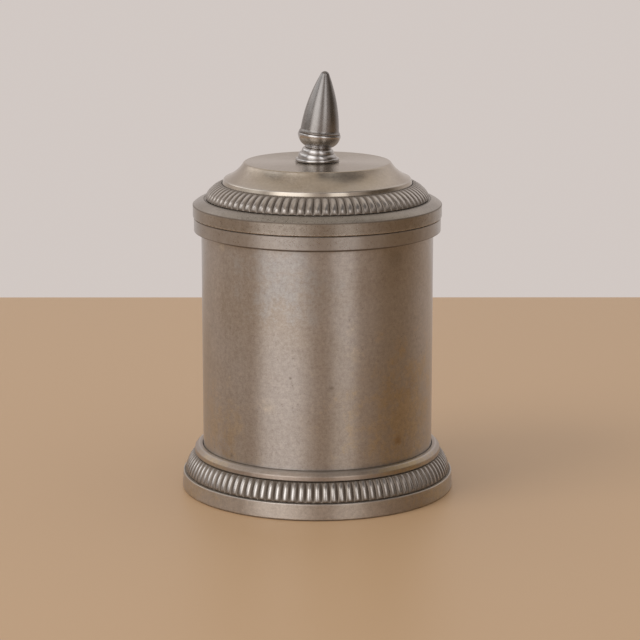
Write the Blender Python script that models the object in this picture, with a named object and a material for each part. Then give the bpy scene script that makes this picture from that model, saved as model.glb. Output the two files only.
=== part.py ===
"""Pewter canister with a lift-off lid: gadrooned foot, gadrooned cover and a screwed spire finial.

Metres, +Z up. The origin is the centre of the foot, on the table. The front is towards -Y.
Radii are built outwards from the body wall and heights upwards from the table.
"""

import math

import bmesh
import bpy
from mathutils import Vector

for leftover in list(bpy.data.objects):
    bpy.data.objects.remove(leftover, do_unlink=True)

# Clearances
SEAM_GAP = 0.0003  # soldered or seated faces
SLIP_GAP = 0.0004  # the lid's flange in the mouth, on the radius

# Body
BODY_RADIUS = 0.0498
BODY_WALL = 0.0018
MOUTH_HEIGHT = 0.1187  # table to the mouth's edge
BASE_PLATE_THICKNESS = 0.0020
MOUTH_RIM_PROJECTION = 0.0029
MOUTH_RIM_HEIGHT = 0.0058
EDGE_BREAK = 0.0004  # softened edges of turned pieces

# Foot, from the table up
PLINTH_HEIGHT = 0.0069
PLINTH_LEDGE = 0.0008  # bare top of the plinth, outside the gadroons
REST_RING_WIDTH = 0.0040
FOOT_UNDERCUT = 0.0012
FOOT_FLANGE_THICKNESS = 0.0018
FOOT_FLANGE_REACH = 0.0020  # how far the flange carries the base plate
FOOT_CORE_WALL = 0.0010  # foot casting round the wall, at its top
FOOT_BAND_HEIGHT = 0.0078
FOOT_BAND_SPREAD = 0.0049  # the band's lower edge stands this far outside its upper one
FOOT_BAND_THICKNESS = 0.0018
FOOT_BAND_BULGE = 0.0004
FOOT_LOBES = 105
FOOT_LOBE_RELIEF = 0.0010
FILLET_OVERHANG = 0.0003
FILLET_HEIGHT = 0.0036
FILLET_TAPER = 0.0012
FILLET_ROUND = 0.0008

# Lid, from its seat on the mouth up
LID_OVERHANG = 0.0004
LID_RIM_HEIGHT = 0.0050
LID_RIM_ROUND = 0.0004
SHOULDER_RUN = 0.0044
SHOULDER_RISE = 0.0038
LID_BAND_SETBACK = 0.0007
LID_BAND_RUN = 0.0073
LID_BAND_RISE = 0.0050
LID_BAND_THICKNESS = 0.0016
LID_BAND_BULGE = 0.0007
LID_LOBES = 86
LID_LOBE_RELIEF = 0.0011
CROWN_FILLET_HEIGHT = 0.0023
COVE_RUN = 0.0093
COVE_RISE = 0.0062
COVE_SAG = 0.0010
TOP_EDGE_ROUND = 0.0006
CROWN_WALL = 0.0018
SPIGOT_STEP = 0.0010
SPIGOT_WALL = 0.0012
SPIGOT_DEPTH = 0.0022
FLANGE_WALL = 0.0014
FLANGE_DEPTH = 0.0100
FLANGE_SEAT = 0.0035  # how far the flange is let up into the lid rim
RIM_LIP = 0.0003  # the lid rim's lower lip inside the flange
UNDERSIDE_RISE = 0.0015

# Finial, from its seat on the lid up
FINIAL_FOOT_RADIUS = 0.0091
FINIAL_FOOT_SWELL = 0.0003
FINIAL_FOOT_HEIGHT = 0.0012
FINIAL_RING_RADIUS = 0.0082  # the wider of the rings that step up to the neck
FINIAL_RING_HEIGHT = 0.0020
FINIAL_RING_TAPER = 0.0008
FINIAL_RING_SWELL = 0.0003
FINIAL_RING_STEP = 0.0013  # each ring stands this far inside the one below
FINIAL_RINGS = 2
FINIAL_NECK_RADIUS = 0.0054
FINIAL_NECK_RISE = 0.0005
FINIAL_CUP_RADIUS = 0.0092
FINIAL_CUP_RISE = 0.0057
FINIAL_CUP_SWELL = 0.0009
FINIAL_BEAD = 0.0007
SPIRE_RADIUS = 0.0082
SPIRE_FLARE = 0.0006
SPIRE_FLARE_HEIGHT = 0.0018
SPIRE_FLARE_HOLLOW = 0.00016
SPIRE_HEIGHT = 0.0228
SPIRE_SWELL = 0.00105
SPIRE_TIP_RADIUS = 0.0019
SPIRE_TIP_HEIGHT = 0.0015
SPIRE_TIP_SWELL = 0.0004
FINIAL_LEAN = math.radians(5.4)  # the soft finial has been knocked out of true, to the right
LEAN_SPAN = 0.0016  # height of the bent stretch, just above its foot
STUD_RADIUS = 0.0020
STUD_REACH = 0.0090  # into the spire
STUD_TAIL = 0.0012  # below the nut
WASHER_RADIUS = 0.0060
WASHER_THICKNESS = 0.0010
NUT_ACROSS_FLATS = 0.0070
NUT_THICKNESS = 0.0030

# Fineness of the curves
TURNED_SEGMENTS = 48
FINIAL_SEGMENTS = 20
STUD_SEGMENTS = 12
NUT_SEGMENTS = 24
LOBE_COLUMNS = (-1.0, -0.5, 0.0, 0.5, 1.0)  # across a lobe, from groove to groove
LOBE_ROWS = (0.0, 0.22, 0.75, 1.0)  # along a lobe, from its lower end
BEND_SHARES = (0, 1 / 3, 2 / 3, 1)  # rings along the bent stretch
WELD = 0.000005
SMOOTH_ANGLE = math.radians(32)
HEXAGON_SIDE = math.tau / 6

# Colours as the photograph shows them
PEWTER_SATIN = ((0.30, 0.25, 0.21), 0.36)
PEWTER_DARK = ((0.24, 0.20, 0.165), 0.42)
PEWTER_BRIGHT = ((0.36, 0.31, 0.27), 0.28)
PEWTER_INSIDE = ((0.22, 0.195, 0.17), 0.50)
BRASS = ((0.42, 0.30, 0.12), 0.40)

# Radii and levels that several pieces share
wall_inside = BODY_RADIUS - BODY_WALL
collar_bore = BODY_RADIUS + SEAM_GAP
flange_top = FOOT_UNDERCUT + FOOT_FLANGE_THICKNESS
wall_foot = flange_top + SEAM_GAP
mouth_rim_radius = collar_bore + MOUTH_RIM_PROJECTION
foot_core_radius = collar_bore + FOOT_CORE_WALL
foot_slope_gap = SEAM_GAP * math.hypot(FOOT_BAND_SPREAD, FOOT_BAND_HEIGHT) / FOOT_BAND_HEIGHT
foot_band_top = PLINTH_HEIGHT + SEAM_GAP + FOOT_BAND_HEIGHT
foot_band_radius = foot_core_radius + foot_slope_gap + FOOT_BAND_THICKNESS
plinth_radius = foot_band_radius + FOOT_BAND_SPREAD + PLINTH_LEDGE
fillet_foot = foot_band_top + SEAM_GAP

lid_seat = MOUTH_HEIGHT + SEAM_GAP
lid_radius = mouth_rim_radius + LID_OVERHANG
shoulder_radius = lid_radius - SHOULDER_RUN
shoulder_top = LID_RIM_HEIGHT + SHOULDER_RISE
lid_band_radius = shoulder_radius - LID_BAND_SETBACK
lid_band_foot = shoulder_top + SEAM_GAP
lid_band_top = lid_band_foot + LID_BAND_RISE
lid_band_end = lid_band_radius - LID_BAND_RUN
crown_radius = lid_band_end - SEAM_GAP
crown_edge = lid_band_top + CROWN_FILLET_HEIGHT
crown_top = crown_edge + COVE_RISE + TOP_EDGE_ROUND
top_radius = crown_radius - COVE_RUN
band_back_run = LID_BAND_RUN - LID_BAND_THICKNESS
band_back_rise = LID_BAND_RISE - LID_BAND_THICKNESS
lid_slope_gap = SEAM_GAP * math.hypot(band_back_run, band_back_rise) / band_back_run
crown_ledge = lid_band_top - LID_BAND_THICKNESS - lid_slope_gap
crown_foot = crown_ledge + SEAM_GAP
spigot_radius = crown_radius - SPIGOT_STEP
spigot_foot = crown_foot - SPIGOT_DEPTH
flange_radius = wall_inside - SLIP_GAP
flange_inside = flange_radius - FLANGE_WALL

finial_seat = crown_top + SEAM_GAP
stud_bore = STUD_RADIUS + SEAM_GAP
ring_top = FINIAL_FOOT_HEIGHT + FINIAL_RINGS * FINIAL_RING_HEIGHT
neck_level = ring_top + FINIAL_NECK_RISE
cup_edge = neck_level + FINIAL_CUP_RISE
cup_top = cup_edge + FINIAL_BEAD
spire_foot = cup_top + SEAM_GAP
spire_shoulder = spire_foot + SPIRE_FLARE_HEIGHT
spire_neck = spire_shoulder + SPIRE_HEIGHT
spire_tip = spire_neck + SPIRE_TIP_HEIGHT
bend_foot = FINIAL_FOOT_HEIGHT
washer_top = -SEAM_GAP - CROWN_WALL - SEAM_GAP
nut_top = washer_top - WASHER_THICKNESS - SEAM_GAP
stud_foot = nut_top - NUT_THICKNESS - STUD_TAIL
stud_top = spire_foot + STUD_REACH


def bow(start, end, sag, steps):
    """Points of a circular arc from start to end, without start. A positive sag swells to its right."""
    start, end = Vector(start), Vector(end)
    chord = end - start
    half = chord.length / 2
    radius = (half * half + sag * sag) / (2 * abs(sag))
    right = Vector((chord.y, -chord.x)).normalized() * math.copysign(1, sag)
    centre = (start + end) / 2 + right * (abs(sag) - radius)
    spread = math.asin(min(1, half / radius))
    points = []
    for step in range(1, steps + 1):
        swing = spread * (2 * step / steps - 1)
        along = chord.normalized() * radius * math.sin(swing)
        points.append(tuple(centre + along + right * radius * math.cos(swing)))
    return points


def rounded(before, corner, after, size, steps):
    """A profile's corner, softened by an arc that starts and ends this far from it."""
    before, corner, after = Vector(before), Vector(corner), Vector(after)
    start = corner + (before - corner).normalized() * size
    end = corner + (after - corner).normalized() * size
    half_turn = (corner - before).angle(after - corner) / 2
    sag = size * (1 - math.cos(half_turn)) / math.tan(half_turn)
    chord, reach = end - start, corner - start
    right_handed = chord.y * reach.x - chord.x * reach.y
    return [tuple(start), *bow(start, end, math.copysign(sag, right_handed), steps)]


def placed(name, shape, parent, level, finish):
    """Turn a finished bmesh into a smooth-shaded object with its own material."""
    bmesh.ops.remove_doubles(shape, verts=shape.verts, dist=WELD)
    bmesh.ops.recalc_face_normals(shape, faces=shape.faces)
    mesh = bpy.data.meshes.new(name)
    shape.to_mesh(mesh)
    shape.free()
    mesh.shade_smooth()
    mesh.set_sharp_from_angle(angle=SMOOTH_ANGLE)
    colour, roughness = finish
    material = bpy.data.materials.new(name + "_metal")
    material.use_nodes = True
    surface = material.node_tree.nodes["Principled BSDF"]
    surface.inputs["Base Color"].default_value = (*colour, 1)
    surface.inputs["Roughness"].default_value = roughness
    surface.inputs["Metallic"].default_value = 1
    mesh.materials.append(material)
    piece = bpy.data.objects.new(name, mesh)
    bpy.context.scene.collection.objects.link(piece)
    piece.parent = parent
    piece.location.z = level
    return piece


def spun(profile, ring, segments):
    """Spin a profile of (radius, height) points round Z. A ring's profile closes on itself."""
    shape = bmesh.new()
    points = [shape.verts.new((radius, 0, height)) for radius, height in profile]
    pairs = list(zip(points, points[1:]))
    if ring:
        pairs.append((points[-1], points[0]))
    edges = [shape.edges.new(pair) for pair in pairs]
    bmesh.ops.spin(
        shape,
        geom=points + edges,
        cent=(0, 0, 0),
        axis=(0, 0, 1),
        angle=math.tau,
        steps=segments,
        use_merge=True,
    )
    return shape


def gadrooned(lower, upper, back_lower, back_upper, bulge, relief, lobes):
    """A ring of half-round lobes: one lobe on its wedge of backing, repeated round Z, with a crest at -Y."""
    shape = bmesh.new()
    half_pitch = math.pi / lobes

    def corner(radius, height, across):
        swing = across * half_pitch
        return shape.verts.new((radius * math.sin(swing), -radius * math.cos(swing), height))

    lower, upper = Vector(lower), Vector(upper)
    outward = Vector((upper.y - lower.y, lower.x - upper.x)).normalized()
    grid = []
    for along in LOBE_ROWS:
        row = []
        for across in LOBE_COLUMNS:
            crown = math.sqrt(1 - across * across) * math.sqrt(math.sin(math.pi * along))
            swell = bulge * math.sin(math.pi * along) + relief * crown
            radius, height = lower.lerp(upper, along) + outward * swell
            row.append(corner(radius, height, across))
        grid.append(row)
    for row, above in zip(grid, grid[1:]):
        for column in range(len(LOBE_COLUMNS) - 1):
            shape.faces.new((row[column], row[column + 1], above[column + 1], above[column]))
    backs = []
    for edge, (radius, height) in ((grid[0], back_lower), (grid[-1], back_upper)):
        left = corner(radius, height, LOBE_COLUMNS[0])
        right = corner(radius, height, LOBE_COLUMNS[-1])
        backs.append((left, right))
        middle = len(edge) // 2
        for column in range(len(edge) - 1):
            shape.faces.new((edge[column], edge[column + 1], left if column < middle else right))
        shape.faces.new((left, edge[middle], right))
    (left, right), (left_above, right_above) = backs
    shape.faces.new((left, right, right_above, left_above))
    everything = shape.verts[:] + shape.edges[:] + shape.faces[:]
    bmesh.ops.spin(
        shape,
        geom=everything,
        cent=(0, 0, 0),
        axis=(0, 0, 1),
        angle=math.tau * (lobes - 1) / lobes,
        steps=lobes - 1,
        use_duplicate=True,
    )
    return shape


def body_wall(canister):
    profile = [
        (BODY_RADIUS, MOUTH_HEIGHT),
        (BODY_RADIUS, wall_foot),
        (wall_inside, wall_foot),
        (wall_inside, MOUTH_HEIGHT - EDGE_BREAK),
        (wall_inside + EDGE_BREAK, MOUTH_HEIGHT),
    ]
    placed("body_wall", spun(profile, True, TURNED_SEGMENTS), canister, 0, PEWTER_SATIN)


def base_plate(canister):
    edge = wall_inside - SEAM_GAP
    profile = [(0, BASE_PLATE_THICKNESS), (edge, BASE_PLATE_THICKNESS), (edge, 0), (0, 0)]
    placed("base_plate", spun(profile, False, TURNED_SEGMENTS), canister, wall_foot, PEWTER_INSIDE)


def mouth_rim(canister):
    low = MOUTH_HEIGHT - MOUTH_RIM_HEIGHT
    profile = [
        (mouth_rim_radius, MOUTH_HEIGHT),
        (mouth_rim_radius, low + EDGE_BREAK),
        (mouth_rim_radius - EDGE_BREAK, low),
        (collar_bore, low),
        (collar_bore, MOUTH_HEIGHT),
    ]
    placed("mouth_rim", spun(profile, True, TURNED_SEGMENTS), canister, 0, PEWTER_SATIN)


def foot_plinth(canister):
    """The cast foot: it stands on its outer rim and carries the wall and base plate on an inner flange."""
    core_foot = foot_core_radius + FOOT_BAND_SPREAD
    flange_edge = wall_inside - FOOT_FLANGE_REACH
    rest_inside = plinth_radius - REST_RING_WIDTH
    profile = [
        (collar_bore, foot_band_top),
        (foot_core_radius, foot_band_top),
        (core_foot, PLINTH_HEIGHT),
        (plinth_radius - EDGE_BREAK, PLINTH_HEIGHT),
        (plinth_radius, PLINTH_HEIGHT - EDGE_BREAK),
        (plinth_radius, 0),
        (rest_inside, 0),
        (rest_inside, FOOT_UNDERCUT),
        (flange_edge, FOOT_UNDERCUT),
        (flange_edge, flange_top),
        (collar_bore, flange_top),
    ]
    placed("foot_plinth", spun(profile, True, TURNED_SEGMENTS), canister, 0, PEWTER_SATIN)


def foot_gadroon_band(canister):
    foot = PLINTH_HEIGHT + SEAM_GAP
    shape = gadrooned(
        lower=(foot_band_radius + FOOT_BAND_SPREAD, foot),
        upper=(foot_band_radius, foot_band_top),
        back_lower=(foot_band_radius + FOOT_BAND_SPREAD - FOOT_BAND_THICKNESS, foot),
        back_upper=(foot_band_radius - FOOT_BAND_THICKNESS, foot_band_top),
        bulge=FOOT_BAND_BULGE,
        relief=FOOT_LOBE_RELIEF,
        lobes=FOOT_LOBES,
    )
    placed("foot_gadroon_band", shape, canister, 0, PEWTER_DARK)


def foot_fillet(canister):
    lower_edge = (foot_band_radius + FILLET_OVERHANG, 0)
    upper_edge = (foot_band_radius + FILLET_OVERHANG - FILLET_TAPER, FILLET_HEIGHT)
    inner_edge = (collar_bore, FILLET_HEIGHT)
    profile = [(collar_bore, 0), lower_edge]
    profile += rounded(lower_edge, upper_edge, inner_edge, FILLET_ROUND, 2)
    profile += [inner_edge]
    placed("foot_fillet", spun(profile, True, TURNED_SEGMENTS), canister, fillet_foot, PEWTER_SATIN)


def lid_rim(lid):
    """The cast lid ring: it sits on the mouth and carries the band, the crown and the inner flange."""
    foot = (lid_radius, 0)
    shoulder = (shoulder_radius, shoulder_top)
    seat_radius = lid_band_radius - LID_BAND_THICKNESS
    hole = spigot_radius + SEAM_GAP
    rebate = flange_radius + SEAM_GAP
    lip = flange_inside - RIM_LIP
    profile = [foot]
    profile += rounded(foot, (lid_radius, LID_RIM_HEIGHT), shoulder, LID_RIM_ROUND, 2)
    profile += [
        shoulder,
        (seat_radius, lid_band_foot - lid_slope_gap),
        (lid_band_end, crown_ledge),
        (hole, crown_ledge),
        (hole, spigot_foot),
        (lip, FLANGE_SEAT + UNDERSIDE_RISE),
        (lip, FLANGE_SEAT),
        (rebate, FLANGE_SEAT),
        (rebate, 0),
    ]
    placed("lid_rim", spun(profile, True, TURNED_SEGMENTS), lid, 0, PEWTER_SATIN)


def lid_gadroon_band(lid):
    shape = gadrooned(
        lower=(lid_band_radius, lid_band_foot),
        upper=(lid_band_end, lid_band_top),
        back_lower=(lid_band_radius - LID_BAND_THICKNESS, lid_band_foot),
        back_upper=(lid_band_end, lid_band_top - LID_BAND_THICKNESS),
        bulge=LID_BAND_BULGE,
        relief=LID_LOBE_RELIEF,
        lobes=LID_LOBES,
    )
    placed("lid_gadroon_band", shape, lid, 0, PEWTER_DARK)


def lid_crown(lid):
    """The raised cover: a spigot in the ring, an upright fillet, a hollow cove and a flat, drilled top."""
    cove_foot = (crown_radius, crown_edge)
    cove_top = (top_radius, crown_top - TOP_EDGE_ROUND)
    hole_edge = (stud_bore, crown_top)
    inner_foot = (spigot_radius - SPIGOT_WALL, crown_edge - CROWN_WALL)
    inner_top = (top_radius - CROWN_WALL, crown_top - CROWN_WALL)
    profile = [hole_edge]
    profile += rounded(hole_edge, (top_radius, crown_top), cove_top, TOP_EDGE_ROUND, 2)
    profile += bow(cove_top, cove_foot, COVE_SAG, 4)
    profile += [
        (crown_radius, crown_foot),
        (spigot_radius, crown_foot),
        (spigot_radius, spigot_foot),
        (spigot_radius - SPIGOT_WALL, spigot_foot),
        inner_foot,
    ]
    profile += bow(inner_foot, inner_top, -COVE_SAG, 2)
    profile += [(stud_bore, crown_top - CROWN_WALL)]
    placed("lid_crown", spun(profile, True, TURNED_SEGMENTS), lid, 0, PEWTER_BRIGHT)


def lid_flange(lid):
    profile = [
        (flange_radius, FLANGE_SEAT - SEAM_GAP),
        (flange_radius, EDGE_BREAK * 2 - FLANGE_DEPTH),
        (flange_radius - EDGE_BREAK, -FLANGE_DEPTH),
        (flange_inside, -FLANGE_DEPTH),
        (flange_inside, FLANGE_SEAT - SEAM_GAP),
    ]
    placed("lid_flange", spun(profile, True, TURNED_SEGMENTS), lid, 0, PEWTER_INSIDE)


def bend_levels():
    """Heights at which a straight bore or stud is divided, so that it follows the bend."""
    return [bend_foot + LEAN_SPAN * share for share in BEND_SHARES]


def knocked(shape):
    """Bend a finial piece above its foot: upright below, leaning towards +X above."""
    radius = LEAN_SPAN / FINIAL_LEAN
    for vert in shape.verts:
        beyond = vert.co.z - bend_foot
        if beyond <= 0:
            continue
        lean = FINIAL_LEAN * min(1, beyond / LEAN_SPAN)
        straight = max(0, beyond - LEAN_SPAN)
        aside = radius * (1 - math.cos(lean)) + straight * math.sin(lean)
        rise = radius * math.sin(lean) + straight * math.cos(lean)
        shift = vert.co.x
        vert.co.x = aside + shift * math.cos(lean)
        vert.co.z = bend_foot + rise - shift * math.sin(lean)
    return shape


def finial_cup(lid):
    """The finial's foot, the rings that step in above it, the neck and the cup."""
    neck = (FINIAL_NECK_RADIUS, neck_level)
    cup = (FINIAL_CUP_RADIUS, cup_edge)
    cup_mouth = (stud_bore, cup_top)
    foot = (FINIAL_FOOT_RADIUS, 0)
    profile = [(stud_bore, 0), foot, *bow(foot, (FINIAL_FOOT_RADIUS, FINIAL_FOOT_HEIGHT), FINIAL_FOOT_SWELL, 3)]
    for ring in range(FINIAL_RINGS):
        radius = FINIAL_RING_RADIUS - ring * FINIAL_RING_STEP
        low = FINIAL_FOOT_HEIGHT + ring * FINIAL_RING_HEIGHT
        edge, ring_end = (radius, low), (radius - FINIAL_RING_TAPER, low + FINIAL_RING_HEIGHT)
        profile += [edge, *bow(edge, ring_end, FINIAL_RING_SWELL, 3)]
    profile += [neck, *bow(neck, cup, FINIAL_CUP_SWELL, 5)]
    profile += rounded(cup, (FINIAL_CUP_RADIUS, cup_top), cup_mouth, FINIAL_BEAD, 2)[1:]
    profile += [cup_mouth]
    profile += [(stud_bore, level) for level in reversed(bend_levels())]
    placed("finial_cup", knocked(spun(profile, True, FINIAL_SEGMENTS)), lid, finial_seat, PEWTER_BRIGHT)


def finial_spire(lid):
    flare = SPIRE_RADIUS + SPIRE_FLARE
    shoulder = (SPIRE_RADIUS, spire_shoulder)
    neck = (SPIRE_TIP_RADIUS, spire_neck)
    tip = (0, spire_tip)
    bore_top = stud_top + SEAM_GAP
    flare_edge = (flare, spire_foot + SPIRE_FLARE)
    profile = [(0, bore_top), (stud_bore, bore_top), (stud_bore, spire_foot), (flare, spire_foot), flare_edge]
    profile += bow(flare_edge, shoulder, -SPIRE_FLARE_HOLLOW, 2)
    profile += bow(shoulder, neck, SPIRE_SWELL, 7)
    profile += bow(neck, tip, SPIRE_TIP_SWELL, 3)
    placed("finial_spire", knocked(spun(profile, False, FINIAL_SEGMENTS)), lid, finial_seat, PEWTER_BRIGHT)


def finial_stud(lid):
    levels = [stud_foot, *bend_levels(), stud_top]
    profile = [(0, stud_foot)] + [(STUD_RADIUS, level) for level in levels] + [(0, stud_top)]
    placed("finial_stud", knocked(spun(profile, False, STUD_SEGMENTS)), lid, finial_seat, BRASS)


def finial_washer(lid):
    low = washer_top - WASHER_THICKNESS
    profile = [(WASHER_RADIUS, washer_top), (WASHER_RADIUS, low), (stud_bore, low), (stud_bore, washer_top)]
    placed("finial_washer", spun(profile, True, FINIAL_SEGMENTS), lid, finial_seat, BRASS)


def finial_nut(lid):
    """A hexagon nut: a turned ring whose outer points are drawn out to the six corners."""
    low = nut_top - NUT_THICKNESS
    apothem = NUT_ACROSS_FLATS / 2
    profile = [(apothem, nut_top), (apothem, low), (stud_bore, low), (stud_bore, nut_top)]
    shape = spun(profile, True, NUT_SEGMENTS)
    between = (stud_bore + apothem) / 2
    for vert in shape.verts:
        if vert.co.xy.length < between:
            continue
        off_flat = math.atan2(vert.co.y, vert.co.x) % HEXAGON_SIDE - HEXAGON_SIDE / 2
        vert.co.xy = vert.co.xy / math.cos(off_flat)
    placed("finial_nut", shape, lid, finial_seat, BRASS)


def carrier(name, parent, level):
    """An empty that the pieces of one body hang on, on the axis of the lid's lift."""
    empty = bpy.data.objects.new(name, None)
    bpy.context.scene.collection.objects.link(empty)
    empty.parent = parent
    empty.location.z = level
    return empty


canister = carrier("canister", None, 0)
lid = carrier("lid", canister, lid_seat)
for make in (body_wall, base_plate, mouth_rim, foot_plinth, foot_gadroon_band, foot_fillet):
    make(canister)
for make in (lid_rim, lid_gadroon_band, lid_crown, lid_flange):
    make(lid)
for make in (finial_cup, finial_spire, finial_stud, finial_washer, finial_nut):
    make(lid)
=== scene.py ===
"""Pewter canister with a lift-off lid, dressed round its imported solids. Metres, +Z up, front towards -Y."""

import math

import bmesh
import bpy
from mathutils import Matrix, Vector


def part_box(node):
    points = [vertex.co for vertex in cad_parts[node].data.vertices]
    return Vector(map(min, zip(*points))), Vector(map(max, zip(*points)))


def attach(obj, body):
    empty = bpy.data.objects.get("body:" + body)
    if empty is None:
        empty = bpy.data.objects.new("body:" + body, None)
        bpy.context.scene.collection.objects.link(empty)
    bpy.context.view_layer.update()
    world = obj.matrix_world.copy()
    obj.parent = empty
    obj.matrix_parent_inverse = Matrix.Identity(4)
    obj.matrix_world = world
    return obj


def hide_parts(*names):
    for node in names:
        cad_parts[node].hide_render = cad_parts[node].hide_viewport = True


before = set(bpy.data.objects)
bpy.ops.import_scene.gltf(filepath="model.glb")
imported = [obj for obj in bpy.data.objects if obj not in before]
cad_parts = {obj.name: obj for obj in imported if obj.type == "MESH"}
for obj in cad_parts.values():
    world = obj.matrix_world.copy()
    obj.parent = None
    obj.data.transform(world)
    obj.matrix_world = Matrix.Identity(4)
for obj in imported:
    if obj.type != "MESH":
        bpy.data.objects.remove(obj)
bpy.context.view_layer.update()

# Foot plinth: one heavy pewter casting, turned on the lathe. Its upright ring stands on the table, its cone
# backs the gadroons, and a flange inside carries the wall and the base plate, which are soldered to it.
# A seam mark darkens a corner: at a joint this is real oxide, and where it sits under an overhang or at the
# feet of the lobes it is painted shade.
PLAIN, WEAR, SEAM_AND_SHADE = "plain", "wear", "seam_and_shade"
MARK_REACH = {WEAR: 0.00045, SEAM_AND_SHADE: 0.00045}
ROUND_STEPS = 5
LEAD_IN = (0.00012, 0.0004, 0.0010, 0.0022)  # rows beside a corner, by their distance from it
LEAD_SHARE = 0.4  # no such row lies farther along a run than this share of it
WIDEST_ROW = 0.004
TURNED_SEGMENTS = 224
WELD = 0.000002
CREASE = math.radians(38)  # faces that meet at more than this show an edge


class Wire:
    """A node socket that takes part in Python arithmetic: each sum or product adds its Math node."""

    def __init__(self, tree, socket=None):
        self.tree = tree
        self.socket = socket

    def add(self, kind, settings=None, sockets=None, result=0):
        """Add any node: its settings first, then the values or links of its sockets."""
        made = self.tree.nodes.new(kind)
        for setting, value in (settings or {}).items():
            setattr(made, setting, value)
        for name, value in (sockets or {}).items():
            if isinstance(value, Wire):
                self.tree.links.new(value.socket, made.inputs[name])
            else:
                made.inputs[name].default_value = value
        return Wire(self.tree, made.outputs[result]) if made.outputs else None

    def other(self, result):
        return Wire(self.tree, self.socket.node.outputs[result])

    def math(self, operation, *values):
        return self.add("ShaderNodeMath", {"operation": operation}, dict(enumerate(values)))

    def __add__(self, value):
        return self.math("ADD", self, value)

    def __radd__(self, value):
        return self.math("ADD", value, self)

    def __sub__(self, value):
        return self.math("SUBTRACT", self, value)

    def __rsub__(self, value):
        return self.math("SUBTRACT", value, self)

    def __mul__(self, value):
        return self.math("MULTIPLY", self, value)

    def __rmul__(self, value):
        return self.math("MULTIPLY", value, self)

    def __truediv__(self, value):
        return self.math("DIVIDE", self, value)

    def __rtruediv__(self, value):
        return self.math("DIVIDE", value, self)

    def __pow__(self, value):
        return self.math("POWER", self, value)

    def between(self, low, high):
        """A soft step from 0 at low to 1 at high."""
        sockets = {"Value": self, "From Min": low, "From Max": high}
        return self.add("ShaderNodeMapRange", {"interpolation_type": "SMOOTHSTEP"}, sockets)

    def mixed(self, share, under, colour, blend="MIX"):
        """Blend a colour into another one, by one number or by a mask."""
        settings = {"data_type": "RGBA", "blend_type": blend}
        return self.add("ShaderNodeMix", settings, {0: share, 6: under, 7: colour}, 2)

    def over(self, under, colour):
        """Lay a colour over another one where this mask is 1."""
        return self.mixed(self, under, colour)

    def scaled(self, *factors):
        return self.add("ShaderNodeVectorMath", {"operation": "MULTIPLY"}, {0: self, 1: factors})

    def distance(self, point):
        return self.add("ShaderNodeVectorMath", {"operation": "DISTANCE"}, {0: self, 1: point}, "Value")

    def noise(self, scale, detail=3.0, roughness=0.55):
        sockets = {"Vector": self, "Scale": scale, "Detail": detail, "Roughness": roughness}
        return self.add("ShaderNodeTexNoise", {}, sockets, "Fac")

    def attribute(self, name):
        return self.add("ShaderNodeAttribute", {"attribute_name": name}, {}, "Fac")


def shape_tree(name, sizes):
    """An empty Geometry Nodes tree: an outline, named sizes and a metal go in, and a piece comes out."""
    tree = bpy.data.node_groups.new(name, "GeometryNodeTree")
    face = tree.interface
    face.new_socket("Outline", in_out="INPUT", socket_type="NodeSocketGeometry")
    for label, kind in sizes.items():
        face.new_socket(label, in_out="INPUT", socket_type="NodeSocket" + kind)
    face.new_socket("Metal", in_out="INPUT", socket_type="NodeSocketMaterial")
    face.new_socket("Piece", in_out="OUTPUT", socket_type="NodeSocketGeometry")
    return Wire(tree)


def sampled(bench, outline, row, label):
    """A value of the outline's own points, read for each row of the piece."""
    if label == "position":
        kind, value = "FLOAT_VECTOR", bench.add("GeometryNodeInputPosition")
    else:
        kind = "FLOAT"
        value = bench.add("GeometryNodeInputNamedAttribute", {"data_type": kind}, {"Name": label})
    sockets = {"Geometry": outline, "Value": value, "Index": row}
    return bench.add("GeometryNodeSampleIndex", {"data_type": kind, "domain": "POINT"}, sockets)


def stored(bench, piece, label, value):
    """Keep a value on a piece's points, where its metal can read it."""
    sockets = {"Geometry": piece, "Name": label, "Value": value}
    return bench.add("GeometryNodeStoreNamedAttribute", {"data_type": "FLOAT", "domain": "POINT"}, sockets)


def completed(bench, piece, metal):
    """The end of every tree: real faces, closed seams and the metal."""
    piece = bench.add("GeometryNodeRealizeInstances", {}, {"Geometry": piece})
    piece = bench.add("GeometryNodeMergeByDistance", {}, {"Geometry": piece, "Distance": WELD})
    piece = bench.add("GeometryNodeSetMaterial", {}, {"Geometry": piece, "Material": metal})
    bench.add("NodeGroupOutput", {}, {"Piece": piece})


def turning_tree():
    """Spins an outline round Z: one column of the grid for each step of the turn."""
    bench = shape_tree("Turning", {"Rows": "Int", "Segments": "Int"})
    given = bench.add("NodeGroupInput", {}, {}, "Outline")
    rows, segments = given.other("Rows"), given.other("Segments")
    columns = segments + 1
    grid = bench.add("GeometryNodeMeshGrid", {}, {"Vertices X": rows, "Vertices Y": columns})
    index = bench.add("GeometryNodeInputIndex")
    row = index.math("FLOOR", index / columns)
    turn = (index - row * columns) * math.tau / segments
    sockets = {"Vector": sampled(bench, given, row, "position"), "Angle": turn}
    place = bench.add("ShaderNodeVectorRotate", {"rotation_type": "Z_AXIS"}, sockets)
    piece = bench.add("GeometryNodeSetPosition", {}, {"Geometry": grid, "Position": place})
    for label in (WEAR, SEAM_AND_SHADE):
        piece = stored(bench, piece, label, sampled(bench, given, row, label))
    completed(bench, piece, given.other("Metal"))
    return bench.tree


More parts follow.
